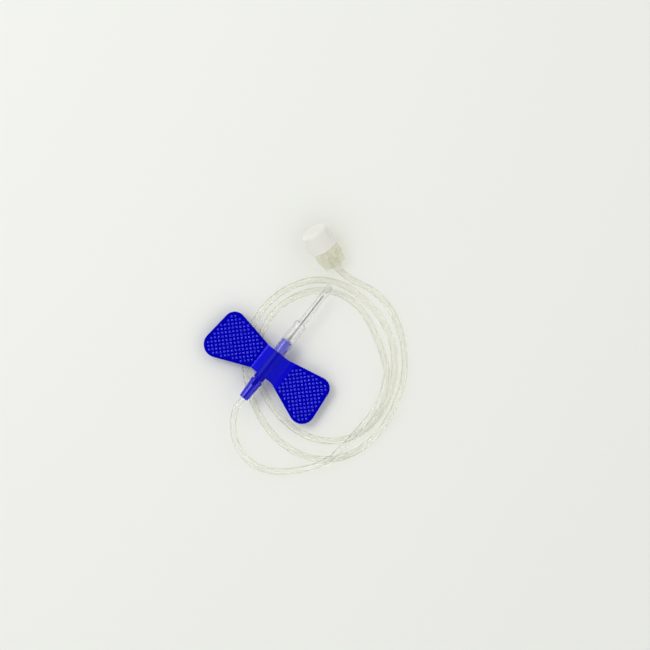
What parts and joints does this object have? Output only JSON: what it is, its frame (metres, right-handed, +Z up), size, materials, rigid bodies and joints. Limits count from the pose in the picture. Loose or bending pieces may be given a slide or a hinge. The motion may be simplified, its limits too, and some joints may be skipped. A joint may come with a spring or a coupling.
{
  "type": "winged infusion set",
  "caption": "Winged infusion set: needle with soft dimpled wings, push-on protector, coiled clear tube and capped female luer-lock connector.",
  "frame": {"origin": "on the needle's centreline where it leaves the hub's nose, 5.1 mm above the surface that the set lies on", "axes": "+X along the needle to its tip, +Y to the left wing, +Z up, away from the surface"},
  "size_m": [0.0814, 0.0684, 0.0118],
  "materials": {
    "wing_pvc": "soft satin",
    "hub_plastic": "gloss",
    "needle_steel": "drawn and polished",
    "adhesive": "cured clear",
    "protector_plastic": "clear gloss",
    "connector_plastic": "translucent",
    "cap_plastic": "translucent",
    "clear_tube": "clear gloss"
  },
  "bodies": {
    "set": {"wing_body": "wing_pvc", "needle_hub": "hub_plastic", "cannula": "needle_steel", "needle_bond": "adhesive", "luer_connector": "connector_plastic", "tubing_hub_end": "clear_tube", "tubing_connector_end": "clear_tube", "tubing_coil": "clear_tube"},
    "protector": {"needle_protector": "protector_plastic"},
    "cap": {"luer_cap": "cap_plastic"}
  },
  "joints": [
    {"name": "protector_slide", "type": "slide", "parent": "set", "child": "protector", "axis": [1, 0, 0], "range_m": [0, 0.03]},
    {"name": "cap_pull", "type": "slide", "parent": "set", "child": "cap", "axis": [0.2875, 0.8849, 0.3665], "range_m": [0, 0.012]}
  ]
}
